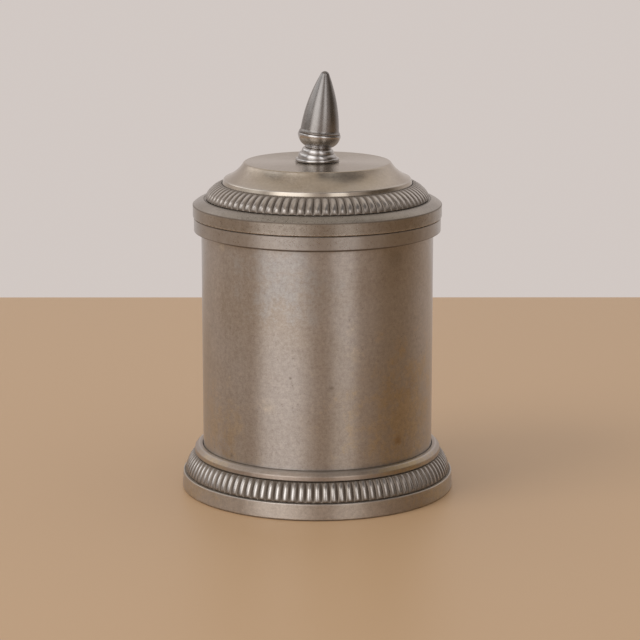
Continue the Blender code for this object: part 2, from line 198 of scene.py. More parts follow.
def made_piece(name, tree, points, values, sizes):
    """Run an outline's points through a tree and keep the result as a plain, smooth piece at the origin."""
    rows = bpy.data.meshes.new(name + "_rows")
    rows.from_pydata(points, [], [])
    for label, column in values.items():
        rows.attributes.new(label, "FLOAT", "POINT").data.foreach_set("value", column)
    holder = bpy.data.objects.new(name + "_rows", rows)
    bpy.context.scene.collection.objects.link(holder)
    modifier = holder.modifiers.new(tree.name, "NODES")
    modifier.node_group = tree
    for item in tree.interface.items_tree:
        if item.in_out == "INPUT" and item.name in sizes:
            modifier[item.identifier] = sizes[item.name]
    graph = bpy.context.evaluated_depsgraph_get()
    seen = holder.evaluated_get(graph)
    mesh = bpy.data.meshes.new_from_object(seen, preserve_all_data_layers=True, depsgraph=graph)
    bpy.data.objects.remove(holder)
    return placed(name, mesh)


def placed(name, mesh):
    """Turn a mesh's faces outwards, shade it smooth between its creases and put it in the scene."""
    shape = bmesh.new()
    shape.from_mesh(mesh)
    bmesh.ops.recalc_face_normals(shape, faces=shape.faces)
    shape.to_mesh(mesh)
    shape.free()
    mesh.shade_smooth()
    mesh.set_sharp_from_angle(angle=CREASE)
    piece = bpy.data.objects.new(name, mesh)
    bpy.context.scene.collection.objects.link(piece)
    return piece


def graded(length):
    """Distances along a straight run: close together at its ends and wide apart between them."""
    near = [lead for lead in LEAD_IN if lead < LEAD_SHARE * length]
    if not near:
        return []
    middle = length - 2 * near[-1]
    steps = max(1, math.ceil(middle / WIDEST_ROW))
    between = [near[-1] + middle * step / steps for step in range(1, steps)]
    return near + between + [length - lead for lead in reversed(near)]


def outline(corners, ring=True):
    """Points (radius, height) through corners of (radius, height, rounding, mark), dense near each one."""
    path = []
    for index, (radius, height, rounding, _) in enumerate(corners):
        corner = Vector((radius, height))
        if not rounding:
            path.append(corner)
            continue
        before = Vector(corners[index - 1][:2])
        after = Vector(corners[(index + 1) % len(corners)][:2])
        start = corner + (before - corner).normalized() * rounding
        end = corner + (after - corner).normalized() * rounding
        for step in range(ROUND_STEPS + 1):
            share = step / ROUND_STEPS
            path.append(start.lerp(corner, share).lerp(corner.lerp(end, share), share))
    if ring:
        path.append(path[0])
    points = [path[0]]
    for here, there in zip(path, path[1:]):
        run = there - here
        points += [here + run.normalized() * along for along in graded(run.length)]
        points.append(there)
    return points


def bow(start, end, sag, steps):
    """Plain corners of an arc between two points, without its ends. A positive sag swells to its right."""
    start, end = Vector(start), Vector(end)
    right = Vector((end.y - start.y, start.x - end.x)).normalized()
    shares = [step / steps for step in range(1, steps)]
    points = [start.lerp(end, share) + right * sag * 4 * share * (1 - share) for share in shares]
    return [(point.x, point.y, 0, PLAIN) for point in points]


def turned(name, corners, metal, ring=True, segments=TURNED_SEGMENTS):
    """A lathe-turned piece from its corners, with worn edges, dark seams and painted shade stored on its
    points.
    """
    points = outline(corners, ring)
    values = {}
    for mark, reach in MARK_REACH.items():
        spots = [Vector(corner[:2]) for corner in corners if corner[3] == mark]
        far = [min([(point - spot).length for spot in spots], default=1) for point in points]
        values[mark] = [math.exp(-((distance / reach) ** 2)) for distance in far]
    sizes = {"Rows": len(points), "Segments": segments, "Metal": metal}
    return made_piece(name, turning, [(point.x, 0, point.y) for point in points], values, sizes)


turning = turning_tree()

# The dark colour of oxide in joints and pits, used also for painted shade in crevices and under overhangs.
OXIDE_AND_SHADE = (0.128, 0.098, 0.073, 1)
WARM_PATINA = (0.355, 0.292, 0.222, 1)
RUBBED = (0.520, 0.485, 0.455, 1)
PEWTER = (0.405, 0.376, 0.356, 1)
SEAM_OXIDE_AND_SHADE = (0.30, 1.0)  # how strong the dark mark is where oxide and painted shade start, and where they are full
CLOUDS = (22, 3, 0.5)  # a noise: scale per metre, detail and roughness
MOTTLE = (130, 5, 0.62)
PEEL = (620, 3, 0.6)
GRAIN = (1900, 2, 0.6)
LATHE_LINES = (26, 26, 2600)  # a noise's scale per metre along X, Y and Z
RUBBED_STREAKS = (480, 480, 16)
PATINA_EDGE = (0.38, 0.68)
RUBBED_EDGE, RUBBED_SHARE = (0.46, 0.78), 0.22
SPOT_EDGE = (0.10, 1.10)
SPOT_RAGS, SMALL_SPOT = 2.6, 0.002  # a small spot has a smoother edge
PIT_CELLS = 190.0
PIT_CHANCE = (0.97, 0.985)  # only the few cells with a tone above this hold a pit
PIT_EDGE = (0.02, 0.08)
BUMP_DEPTH = 0.001
ROUND_THE_AXIS = 0.25  # the turn of the brushing, as a share of a full one


def pewter(
    name,
    tone=PEWTER,
    dullness=0.32,
    warmth=0.3,
    polish=0.0,
    brushed=0.85,
    blackened=SEAM_OXIDE_AND_SHADE,
    black=0.85,
    stains_and_highlights=(),
):
    """Old pewter: cloudy patina, grain, lathe lines, pits, stained and pale spots (some of them painted
    highlight), dark oxides with painted shade in joints and grooves, rubbed edges.
    """
    metal = bpy.data.materials.new(name)
    metal.use_nodes = True
    bench = Wire(metal.node_tree)
    place = bench.add("ShaderNodeTexCoord", {}, {}, "Object")
    clouds = place.noise(*CLOUDS)
    mottle = place.noise(*MOTTLE)
    peel = place.noise(*PEEL)
    grain = place.noise(*GRAIN)
    lines = place.scaled(*LATHE_LINES).noise(1, 3, 0.6)
    streaks = place.scaled(*RUBBED_STREAKS).noise(1, 3, 0.6)
    wear, seam_and_shade = bench.attribute(WEAR), bench.attribute(SEAM_AND_SHADE)
    cells = place.add("ShaderNodeTexVoronoi", {}, {"Vector": place, "Scale": PIT_CELLS}, "Distance")
    chance = cells.other("Color").between(*PIT_CHANCE)
    pits = (1 - cells.between(*PIT_EDGE)) * chance * (1 - polish) ** 5
    # The mark's darkening: oxide at joints, and painted shade under overhangs, at the lobes' feet and in the
    # gadroons' grooves.
    oxide_and_shade = (seam_and_shade * (0.85 + 0.3 * mottle)).between(*blackened)
    colour = (clouds.between(*PATINA_EDGE) * warmth).over(tone, WARM_PATINA)
    colour = (mottle.between(*RUBBED_EDGE) * RUBBED_SHARE).over(colour, RUBBED)
    # Spots of colour: tarnish and pale spots, and on the wall two pale ones that are painted highlight.
    for point, reach, stain_and_highlight, strength in stains_and_highlights:
        ragged = (mottle - 0.5) * min(SPOT_RAGS, reach / SMALL_SPOT) + (peel - 0.5) * 1.4
        near = 1 - place.distance(point) / reach + ragged
        colour = (near.between(*SPOT_EDGE) * strength).over(colour, stain_and_highlight)
    texture = 0.55 * (grain - 0.5) + 0.55 * (peel - 0.5) + 0.15 * (lines - 0.5) + 0.1 * (streaks - 0.5)
    colour = bench.mixed(1.0, colour, 1 + texture * (1 - 0.9 * polish), "MULTIPLY")
    colour = (wear * 0.6).over(colour, RUBBED)
    colour = (oxide_and_shade * black).over(colour, OXIDE_AND_SHADE)
    colour = (pits * 0.6).over(colour, OXIDE_AND_SHADE)
    skin = 1 - 0.8 * polish
    rough = dullness + 0.08 * (clouds - 0.5) + (0.16 * (grain - 0.5) + 0.12 * (peel - 0.5)) * skin
    rough = rough + 0.25 * polish * (mottle - 0.5) + 0.2 * oxide_and_shade - 0.04 * wear
    height = 0.08 * clouds + 0.012 * mottle + 0.022 * peel + 0.009 * grain + 0.0012 * lines - 0.02 * pits
    bump = {"Height": height, "Distance": BUMP_DEPTH, "Strength": skin}
    normal = bench.add("ShaderNodeBump", {}, bump)
    surface = metal.node_tree.nodes["Principled BSDF"]
    surface.inputs["Anisotropic"].default_value = brushed
    surface.inputs["Anisotropic Rotation"].default_value = ROUND_THE_AXIS
    for socket, wire in (("Base Color", colour), ("Roughness", rough), ("Normal", normal)):
        bench.tree.links.new(wire.socket, surface.inputs[socket])
    bench.tree.links.new((1 - 0.5 * oxide_and_shade).socket, surface.inputs["Metallic"])
    return metal


plinth_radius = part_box("foot_plinth")[1].x
plinth_top = 0.0069
plinth_draft = 0.0003
plinth_ledge = 0.0015
foot_band_radius = plinth_radius - plinth_ledge
lobe_contact = 0.0004
core_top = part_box("foot_plinth")[1].z
core_wall = 0.0010
cone_spread = 0.0047
wall_bore = 0.0501
rest_width = 0.0040
rest_inside = plinth_radius - rest_width
undercut = 0.0012
flange_edge = 0.0460
flange_top = 0.0030
PLINTH_PEWTER = (0.442, 0.392, 0.346, 1)
GOLDEN_TARNISH = (0.430, 0.335, 0.210, 1)
plinth_stains = [  # each one's middle, reach, colour and strength
    ((0.0530, -0.0255, 0), 0.034, GOLDEN_TARNISH, 0.8),
    ((-0.0540, -0.0235, 0), 0.030, GOLDEN_TARNISH, 0.7),
]
plinth_metal = pewter("plinth_pewter", tone=PLINTH_PEWTER, dullness=0.40, stains_and_highlights=plinth_stains)
plinth_corners = [
    (wall_bore, core_top, 0, PLAIN),
    (wall_bore + core_wall, core_top, 0, PLAIN),
    (wall_bore + cone_spread, plinth_top, 0, PLAIN),
    # A dark line at the lobes' feet: the solder joint, with painted shade under the lobes.
    (foot_band_radius + lobe_contact, plinth_top, 0, SEAM_AND_SHADE),
    (plinth_radius - plinth_draft, plinth_top, 0.0003, WEAR),
    (plinth_radius, 0, 0.0006, PLAIN),
    (rest_inside, 0, 0.0004, PLAIN),
    (rest_inside, undercut, 0, PLAIN),
    (flange_edge, undercut, 0.0003, PLAIN),
    (flange_edge, flange_top, 0.0003, PLAIN),
    (wall_bore, flange_top, 0, PLAIN),
]
foot_plinth = turned("plinth_casting", plinth_corners, plinth_metal)
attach(foot_plinth, "canister")
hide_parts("foot_plinth")

# Base plate: a disc of sheet pewter that closes the lower end of the wall. It lies on the foot's flange and
# is soldered round its edge, and it is dull from what has been kept in the canister.
plate_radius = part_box("base_plate")[1].x
plate_low, plate_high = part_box("base_plate")[0].z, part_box("base_plate")[1].z
INSIDE_TONE = (0.275, 0.245, 0.215, 1)
inside_metal = pewter("inside_pewter", tone=INSIDE_TONE, dullness=0.46, warmth=0.25)
plate_corners = [
    (0, plate_high, 0, PLAIN),
    (plate_radius, plate_high, 0.0003, SEAM_AND_SHADE),
    (plate_radius, plate_low, 0.0003, PLAIN),
    (0, plate_low, 0, PLAIN),
]
base_plate = turned("base_disc", plate_corners, inside_metal, ring=False)
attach(base_plate, "canister")
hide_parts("base_plate")

# Body wall: sheet pewter rolled into a straight cylinder and turned true, standing in the foot casting.
# Long use has left it satin, with golden and brown tarnish low down, a grey bloom above and a few pits.
wall_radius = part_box("body_wall")[1].x
wall_low, mouth_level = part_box("body_wall")[0].z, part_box("body_wall")[1].z
wall_inside = 0.0480
fillet_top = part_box("foot_fillet")[1].z
mouth_rim_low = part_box("mouth_rim")[0].z
rim_shade = 0.0007
BROWN_TARNISH = (0.250, 0.165, 0.090, 1)
DARK_TARNISH = (0.150, 0.125, 0.100, 1)
PALE_SPOT_AND_HIGHLIGHT = (0.560, 0.500, 0.400, 1)
GREY_BLOOM = (0.370, 0.364, 0.364, 1)
wall_stains_and_highlights = [
    ((-0.0145, -0.0476, 0.1000), 0.028, GREY_BLOOM, 0.8),
    ((0.0386, -0.0315, 0.040), 0.038, GOLDEN_TARNISH, 0.7),
    ((-0.0430, -0.0250, 0.030), 0.026, GOLDEN_TARNISH, 0.5),
    ((0.0341, -0.0363, 0.0288), 0.0032, BROWN_TARNISH, 0.6),
    ((0.0394, -0.0304, 0.0512), 0.0050, BROWN_TARNISH, 0.2),
    ((-0.0408, -0.0286, 0.0245), 0.0085, BROWN_TARNISH, 0.3),
    ((-0.0363, -0.0341, 0.0214), 0.0016, DARK_TARNISH, 0.6),
    ((-0.0112, -0.0485, 0.0585), 0.0011, DARK_TARNISH, 0.8),
    ((0.0057, -0.0495, 0.0545), 0.0024, DARK_TARNISH, 0.6),
    ((-0.0368, -0.0335, 0.0555), 0.0010, PALE_SPOT_AND_HIGHLIGHT, 0.8),
    ((-0.0399, -0.0299, 0.1105), 0.0035, PALE_SPOT_AND_HIGHLIGHT, 0.35),
    # These two pale patches along the right edge of the wall's reflected highlight are painted highlight.
    ((0.0154, -0.0474, 0.0800), 0.0050, PALE_SPOT_AND_HIGHLIGHT, 0.35),
    ((0.0150, -0.0475, 0.0680), 0.0060, PALE_SPOT_AND_HIGHLIGHT, 0.4),
    ((-0.0210, -0.0452, 0.0455), 0.0045, PALE_SPOT_AND_HIGHLIGHT, 0.35),
    ((0.0335, -0.0368, 0.1080), 0.0070, DARK_TARNISH, 0.35),
]
wall_metal = pewter("wall_pewter", dullness=0.33, warmth=0.4, brushed=0.9, stains_and_highlights=wall_stains_and_highlights)
wall_corners = [
    (wall_radius, mouth_level, 0, PLAIN),
    # The dark mark on the wall just below the mouth rim is painted shadow under the rim.
    (wall_radius, mouth_rim_low - rim_shade, 0, SEAM_AND_SHADE),
    (wall_radius, fillet_top, 0, SEAM_AND_SHADE),
    (wall_radius, wall_low, 0, PLAIN),
    (wall_inside, wall_low, 0, PLAIN),
    (wall_inside, mouth_level, 0.0004, WEAR),
]
body_wall = turned("wall_cylinder", wall_corners, wall_metal)
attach(body_wall, "canister")
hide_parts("body_wall")

# Foot gadroons: a cast band of half-round lobes, bent round the foot's cone and soldered on. The crests are
# rubbed bright, and the grooves between them and the lobes' ends are dark with black oxide and painted shade.
LOBE_COLUMNS = 8
LOBE_ROWS = (0, 0.025, 0.08, 0.17, 0.32, 0.60, 0.80, 0.91, 0.97, 1)  # as shares of a lobe's length
# Dark in the gadroons' grooves and at the lobes' ends: black oxide, deepened with painted shade.
GROOVE_OXIDE_AND_SHADE = (0.03, 0.42)
END_FADE = 0.3  # a low power keeps the dark close to a lobe's ends
CREST_WEAR = 4  # a high power keeps the rubbed metal close to its crest


def gadroon_tree():
    """Shapes one lobe from an outline and its lift, and repeats it round Z with a crest at -Y."""
    sizes = {"Rows": "Int", "Columns": "Int", "Lobes": "Int", "Squareness": "Float", "Outward": "Vector"}
    bench = shape_tree("Gadrooning", sizes)
    given = bench.add("NodeGroupInput", {}, {}, "Outline")
    rows, columns, lobes = given.other("Rows"), given.other("Columns"), given.other("Lobes")
    squareness = given.other("Squareness")
    points = columns + 1
    grid = bench.add("GeometryNodeMeshGrid", {}, {"Vertices X": rows, "Vertices Y": points})
    index = bench.add("GeometryNodeInputIndex")
    row = index.math("FLOOR", index / points)
    sweep = (index - row * points) / columns * math.pi - math.pi / 2
    across = sweep.math("SINE", sweep)
    side = across.math("ABSOLUTE", across)
    fall = side.math("MAXIMUM", 1 - side**squareness, 0)
    crest = fall ** (1 / squareness)
    share = sampled(bench, given, row, "share")
    lift = sampled(bench, given, row, "lift") * crest
    sockets = {0: given.other("Outward"), "Scale": lift}
    raised = bench.add("ShaderNodeVectorMath", {"operation": "SCALE"}, sockets)
    sockets = {0: sampled(bench, given, row, "position"), 1: raised}
    place = bench.add("ShaderNodeVectorMath", {"operation": "ADD"}, sockets)
    sockets = {"Vector": place, "Angle": across * math.pi / lobes - math.pi / 2}
    place = bench.add("ShaderNodeVectorRotate", {"rotation_type": "Z_AXIS"}, sockets)
    lobe = bench.add("GeometryNodeSetPosition", {}, {"Geometry": grid, "Position": place})
    high = share * crest
    # Grooves and lobe ends darken: oxide with painted shade.
    lobe = stored(bench, lobe, SEAM_AND_SHADE, 1 - share**END_FADE * crest)
    lobe = stored(bench, lobe, WEAR, high**CREST_WEAR)
    seats = bench.add("GeometryNodePoints", {}, {"Count": lobes})
    turn = bench.add("ShaderNodeCombineXYZ", {}, {"Z": index * math.tau / lobes})
    sockets = {"Points": seats, "Instance": lobe, "Rotation": turn}
    band = bench.add("GeometryNodeInstanceOnPoints", {}, sockets)
    completed(bench, band, given.other("Metal"))
    return bench.tree


gadrooning = gadroon_tree()


def gadrooned(name, lower, upper, backing, bulge, relief, tilt, lobes, squareness, metal):
    """A closed band of lobes between two edges, fuller by the tilt at the upper one, on a backing."""
    lower, upper = Vector(lower), Vector(upper)
    outward = Vector((upper.y - lower.y, lower.x - upper.x)).normalized()
    swell = [math.sin(math.pi * along) for along in LOBE_ROWS]
    front = [lower.lerp(upper, along) + outward * bulge * full for along, full in zip(LOBE_ROWS, swell)]
    share = [math.sqrt(max(0, full)) for full in swell]
    points = front + [Vector(corner) for corner in backing] + [front[0]]
    share += [0] * (len(points) - len(share))
    fuller = [1 + tilt * (2 * along - 1) for along in LOBE_ROWS] + [1] * (len(points) - len(LOBE_ROWS))
    values = {"share": share, "lift": [relief * part * full for part, full in zip(share, fuller)]}
    sizes = {
        "Rows": len(points),
        "Columns": LOBE_COLUMNS,
        "Lobes": lobes,
        "Squareness": squareness,
        "Outward": (outward.x, 0, outward.y),
        "Metal": metal,
    }
    return made_piece(name, gadrooning, [(point.x, 0, point.y) for point in points], values, sizes)


FOOT_LOBES = 105
foot_band_low, foot_band_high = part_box("foot_gadroon_band")[0].z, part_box("foot_gadroon_band")[1].z
foot_band_lean = 0.0043
foot_band_thickness = 0.0017
foot_band_lower = (foot_band_radius, foot_band_low)
foot_band_upper = (foot_band_radius - foot_band_lean, foot_band_high)
foot_backing = [
    (foot_band_upper[0] - foot_band_thickness, foot_band_high),
    (foot_band_radius - foot_band_thickness, foot_band_low),
]
FOOT_LOBE_PEWTER = (0.437, 0.406, 0.384, 1)
foot_lobe_metal = pewter(
    "foot_gadroon_pewter",
    tone=FOOT_LOBE_PEWTER,
    dullness=0.16,
    warmth=0.15,
    polish=0.3,
    brushed=0,
    blackened=GROOVE_OXIDE_AND_SHADE,
    black=0.95,
)
foot_gadroons = gadrooned(
    "foot_gadroons",
    foot_band_lower,
    foot_band_upper,
    foot_backing,
    bulge=0.0002,
    relief=0.0010,
    tilt=0.1,
    lobes=FOOT_LOBES,
    squareness=1.45,
    metal=foot_lobe_metal,
)
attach(foot_gadroons, "canister")
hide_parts("foot_gadroon_band")

# Foot fillet: a plain turned ring, soldered round the wall above the gadroons. Its upright face has gone
# golden at the sides, and the broad bevel above the face has been rubbed bright.
fillet_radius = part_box("foot_fillet")[1].x
fillet_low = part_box("foot_fillet")[0].z
FACE_SHARE = 0.55
fillet_face_top = fillet_low + FACE_SHARE * (fillet_top - fillet_low)
fillet_draft = 0.0001
fillet_bevel = 0.0018
FILLET_PEWTER = (0.362, 0.304, 0.262, 1)
fillet_stains = [
    ((0.0400, -0.0360, fillet_low), 0.030, GOLDEN_TARNISH, 0.9),
    ((-0.0470, -0.0260, fillet_low), 0.024, GOLDEN_TARNISH, 0.6),
]
fillet_metal = pewter(
    "fillet_pewter",
    tone=FILLET_PEWTER,
    dullness=0.38,
    polish=0.3,
    stains_and_highlights=fillet_stains,
)
fillet_corners = [
    (wall_bore, fillet_low, 0, PLAIN),
    (fillet_radius, fillet_low, 0.0002, SEAM_AND_SHADE),
    (fillet_radius - fillet_draft, fillet_face_top, 0.0004, PLAIN),
    (fillet_radius - fillet_bevel, fillet_top, 0.0006, WEAR),
    (wall_bore, fillet_top, 0.0002, PLAIN),
]
foot_fillet = turned("fillet_ring", fillet_corners, fillet_metal)
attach(foot_fillet, "canister")
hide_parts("foot_fillet")

# Mouth rim: the lower of the two bands at the top, a turned ring soldered round the upper edge of the wall,
# so that the lid has something to sit on.
mouth_rim_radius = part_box("mouth_rim")[1].x
RING_PEWTER = (0.350, 0.328, 0.312, 1)
ring_metal = pewter("ring_pewter", tone=RING_PEWTER, dullness=0.30, warmth=0.25, polish=0.45)
mouth_rim_corners = [
    (mouth_rim_radius, mouth_level, 0.0002, SEAM_AND_SHADE),
    # The rim's lower edge is darkened as painted shadow under it.
    (mouth_rim_radius, mouth_rim_low, 0.0003, SEAM_AND_SHADE),
    (wall_bore, mouth_rim_low, 0.0002, SEAM_AND_SHADE),
    (wall_bore, mouth_level, 0.0002, PLAIN),
]
mouth_rim = turned("mouth_ring", mouth_rim_corners, ring_metal)
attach(mouth_rim, "canister")
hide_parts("mouth_rim")

# Lid rim: the lid's cast ring, with an upright edge and a low shoulder that swells a little. It sits on the
# mouth and carries the lid's gadroons, the crown's spigot and the flange, all soldered to it.
SOLDER_GAP = 0.0003
lid_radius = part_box("lid_rim")[1].x
lid_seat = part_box("lid_rim")[0].z
lid_edge_height = 0.0052
lid_band_foot_radius = 0.0483
lid_band_run = 0.0073
lid_band_end = lid_band_foot_radius - lid_band_run
lid_band_low, lid_band_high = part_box("lid_gadroon_band")[0].z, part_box("lid_gadroon_band")[1].z
band_drop = 0.0013
band_foot_level = lid_band_low - band_drop
cone_step = 0.0016
crown_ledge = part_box("lid_rim")[1].z
rim_inside = 0.0400
spigot_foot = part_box("lid_crown")[0].z
flange_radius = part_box("lid_flange")[1].x
rebate_radius = flange_radius + SOLDER_GAP
rebate_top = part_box("lid_flange")[1].z + SOLDER_GAP
rebate_inside = 0.0459
rebate_chamfer = 0.0015
shoulder_top = band_foot_level - SOLDER_GAP
shoulder_swell = 0.0003
shoulder_lip = 0.0008
shoulder_foot = (lid_radius, lid_seat + lid_edge_height)
shoulder_head = (lid_band_foot_radius + shoulder_lip, shoulder_top)
lid_lobe_contact = 0.0002
LID_EDGE_PEWTER = (0.300, 0.272, 0.243, 1)
lid_rim_metal = pewter("lid_rim_pewter", tone=LID_EDGE_PEWTER, dullness=0.30, warmth=0.25, polish=0.1)
lid_rim_corners = [
    (lid_radius, lid_seat, 0.0003, WEAR),
    # A dark line at the shoulder's edge is painted shade of a small step that is not modelled.
    (*shoulder_foot, 0.0001, SEAM_AND_SHADE),
    *bow(shoulder_foot, shoulder_head, shoulder_swell, 10),
    (*shoulder_head, 0.0002, PLAIN),
    # A dark line at the foot of the lid's lobes is painted shadow under them.
    (lid_band_foot_radius + lid_lobe_contact, shoulder_top, 0, SEAM_AND_SHADE),
    (lid_band_foot_radius - cone_step, shoulder_top, 0, PLAIN),
    (lid_band_end, crown_ledge, 0, PLAIN),
    (rim_inside, crown_ledge, 0, PLAIN),
    (rim_inside, spigot_foot, 0.0002, PLAIN),
    (rebate_inside, rebate_top + rebate_chamfer, 0.0003, PLAIN),
    (rebate_inside, rebate_top, 0.0002, PLAIN),
    (rebate_radius, rebate_top, 0, PLAIN),
    (rebate_radius, lid_seat, 0.0002, PLAIN),
]
lid_rim = turned("lid_ring", lid_rim_corners, lid_rim_metal)
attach(lid_rim, "lid")
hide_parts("lid_rim")

# Lid flange: a thin pewter ring let up into the lid rim and soldered there. It drops into the mouth and
# keeps the lid in place, and its lower edge is eased so that it finds its way in.
flange_inside = 0.0462
flange_low, flange_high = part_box("lid_flange")[0].z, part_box("lid_flange")[1].z
flange_corners = [
    (flange_radius, flange_high, 0, PLAIN),
    (flange_radius, flange_low, 0.0006, WEAR),
    (flange_inside, flange_low, 0.0003, PLAIN),
    (flange_inside, flange_high, 0, SEAM_AND_SHADE),
]
lid_flange = turned("lid_collar", flange_corners, inside_metal)
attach(lid_flange, "lid")
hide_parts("lid_flange")

# Lid gadroons: a cast band like the foot's, with broader tongues that roll over from the shoulder up to the
# crown. It is soldered on the lid rim's cone.
LID_LOBES = 86
lid_band_thickness = 0.0015
lid_lobe_setback = 0.0005
lid_backing = [
    (lid_band_end, lid_band_high - lid_band_thickness),
    (lid_band_foot_radius - lid_band_thickness, band_foot_level),
]
LID_LOBE_PEWTER = (0.450, 0.415, 0.390, 1)
# The lid's grooves and lobe ends are dark with oxide and painted shade.
LID_GROOVE_OXIDE_AND_SHADE = (0.02, 0.32)
lid_lobe_metal = pewter(
    "lid_gadroon_pewter",
    tone=LID_LOBE_PEWTER,
    dullness=0.12,
    warmth=0.2,
    polish=0.45,
    brushed=0,
    blackened=LID_GROOVE_OXIDE_AND_SHADE,
)
lid_gadroons = gadrooned(
    "lid_gadroons",
    (lid_band_foot_radius - lid_lobe_setback, band_foot_level),
    (lid_band_end, lid_band_high),
    lid_backing,
    bulge=0.0006,
    relief=0.0009,
    tilt=-0.3,
    lobes=LID_LOBES,
    squareness=2.0,
    metal=lid_lobe_metal,
)
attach(lid_gadroons, "lid")
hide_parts("lid_gadroon_band")

# Lid crown: the raised cover, spun from sheet pewter and polished. An upright fillet stands inside the
# gadroons, a hollow cove rises to a flat top, and the top is drilled for the finial's stud.
crown_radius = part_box("lid_crown")[1].x
crown_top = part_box("lid_crown")[1].z
crown_foot = crown_ledge + SOLDER_GAP
crown_wall = 0.0018
cove_height = 0.0071
cove_run = 0.0093
cove_sag = 0.0010
crown_edge = crown_top - cove_height
top_radius = crown_radius - cove_run
fillet_lean = 0.0006
stud_bore = 0.0023
finial_contact = 0.0093
spigot_step = 0.0010
spigot_wall = 0.0012
spigot_radius = crown_radius - spigot_step
spigot_inside = spigot_radius - spigot_wall
cove_top = (top_radius, crown_top)
cove_foot = (crown_radius - fillet_lean, crown_edge)
inner_foot = (spigot_inside, crown_edge - crown_wall)
inner_top = (top_radius - crown_wall, crown_top - crown_wall)
BRIGHT_PEWTER = (0.440, 0.384, 0.320, 1)
bright_metal = pewter("bright_pewter", tone=BRIGHT_PEWTER, dullness=0.22, warmth=0.45, polish=0.6)
crown_corners = [
    (stud_bore, crown_top, 0, PLAIN),
    (finial_contact, crown_top, 0, SEAM_AND_SHADE),
    (*cove_top, 0.0006, PLAIN),
    *bow(cove_top, cove_foot, cove_sag, 14),
    (*cove_foot, 0.0005, WEAR),
    (crown_radius, lid_band_high, 0, SEAM_AND_SHADE),
    (crown_radius, crown_foot, 0.0002, PLAIN),
    (spigot_radius, crown_foot, 0, PLAIN),
    (spigot_radius, spigot_foot, 0.0002, PLAIN),
    (spigot_inside, spigot_foot, 0.0003, PLAIN),
    (*inner_foot, 0.0006, PLAIN),
    *bow(inner_foot, inner_top, -cove_sag, 10),
    (*inner_top, 0.0004, PLAIN),
    (stud_bore, crown_top - crown_wall, 0, PLAIN),
]
lid_crown = turned("crown_cover", crown_corners, bright_metal)
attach(lid_crown, "lid")
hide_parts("lid_crown")

# Finial cup: the foot, rings, neck and cup of the finial, cast in soft pewter, turned and polished. Cup and
# spire are threaded on one stud, and a knock has bent them just above the foot, so that they lean right.
finial_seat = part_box("finial_cup")[0].z
FINIAL_SEGMENTS = 96
FINIAL_LEAN = math.radians(5.4)
LEAN_SPAN = 0.0016
BEND_STEPS = 3
PARTING = 0.00008
FINIAL_RINGS = 2
finial_foot_radius = 0.0091
foot_level = 0.0014
ring_radius = 0.0082
ring_height = 0.0021
ring_step = 0.0013
ring_taper = 0.0008
ring_swell = 0.0003
neck_radius, neck_level = 0.0054, 0.0061
cup_radius, cup_edge = 0.0092, 0.0111
cup_swell = 0.0009
cup_lip, cup_top = 0.00905, 0.0118


def knocked(piece):
    """Bend a finial piece above its foot, so that it leans towards +X, and set it on its seat."""
    radius = LEAN_SPAN / FINIAL_LEAN
    for vert in piece.data.vertices:
        beyond = vert.co.z - foot_level
        if beyond > 0:
            lean = FINIAL_LEAN * min(1, beyond / LEAN_SPAN)
            straight = max(0, beyond - LEAN_SPAN)
            aside = radius * (1 - math.cos(lean)) + straight * math.sin(lean)
            rise = radius * math.sin(lean) + straight * math.cos(lean)
            shift = vert.co.x
            vert.co.x = aside + shift * math.cos(lean)
            vert.co.z = foot_level + rise - shift * math.sin(lean)
        vert.co.z += finial_seat
    piece.data.update()
    return piece


def along_bend(radius):
    """Corners of a straight bore or stud where it follows the bend, from the foot up."""
    steps = range(BEND_STEPS + 1)
    return [(radius, foot_level + LEAN_SPAN * step / BEND_STEPS, 0, PLAIN) for step in steps]


# Cup and spire are one pewter: the cup's lighter tone is partly its polish and partly painted light.
LIT_CUP_PEWTER = (0.425, 0.408, 0.400, 1)
lit_cup_metal = pewter("finial_cup_lit_pewter", tone=LIT_CUP_PEWTER, dullness=0.20, warmth=0.1, polish=0.7, brushed=0.6)
ring_corners = []
for ring in range(FINIAL_RINGS):
    lower = (ring_radius - ring * ring_step, foot_level + ring * ring_height)
    upper = (lower[0] - ring_taper, lower[1] + ring_height)
    ring_corners += [(*lower, 0, PLAIN), *bow(lower, upper, ring_swell, 8), (*upper, 0.0002, PLAIN)]
foot = (finial_foot_radius, 0)
foot_edge = (finial_foot_radius, foot_level)
neck = (neck_radius, neck_level)
cup = (cup_radius, cup_edge)
cup_corners = [
    (stud_bore, 0, 0, PLAIN),
    (*foot, 0, PLAIN),
    *bow(foot, foot_edge, ring_swell, 8),
    (*foot_edge, 0.0003, PLAIN),
    *ring_corners,
    (*neck, 0.0005, PLAIN),
    *bow(neck, cup, cup_swell, 14),
    (*cup, 0.0003, PLAIN),
    (cup_lip, cup_top, 0.00015, PLAIN),
    (stud_bore, cup_top, 0, PLAIN),
    *reversed(along_bend(stud_bore)),
]
finial_cup = knocked(turned("finial_cup_turned", cup_corners, lit_cup_metal, segments=FINIAL_SEGMENTS))
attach(finial_cup, "lid")
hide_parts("finial_cup")

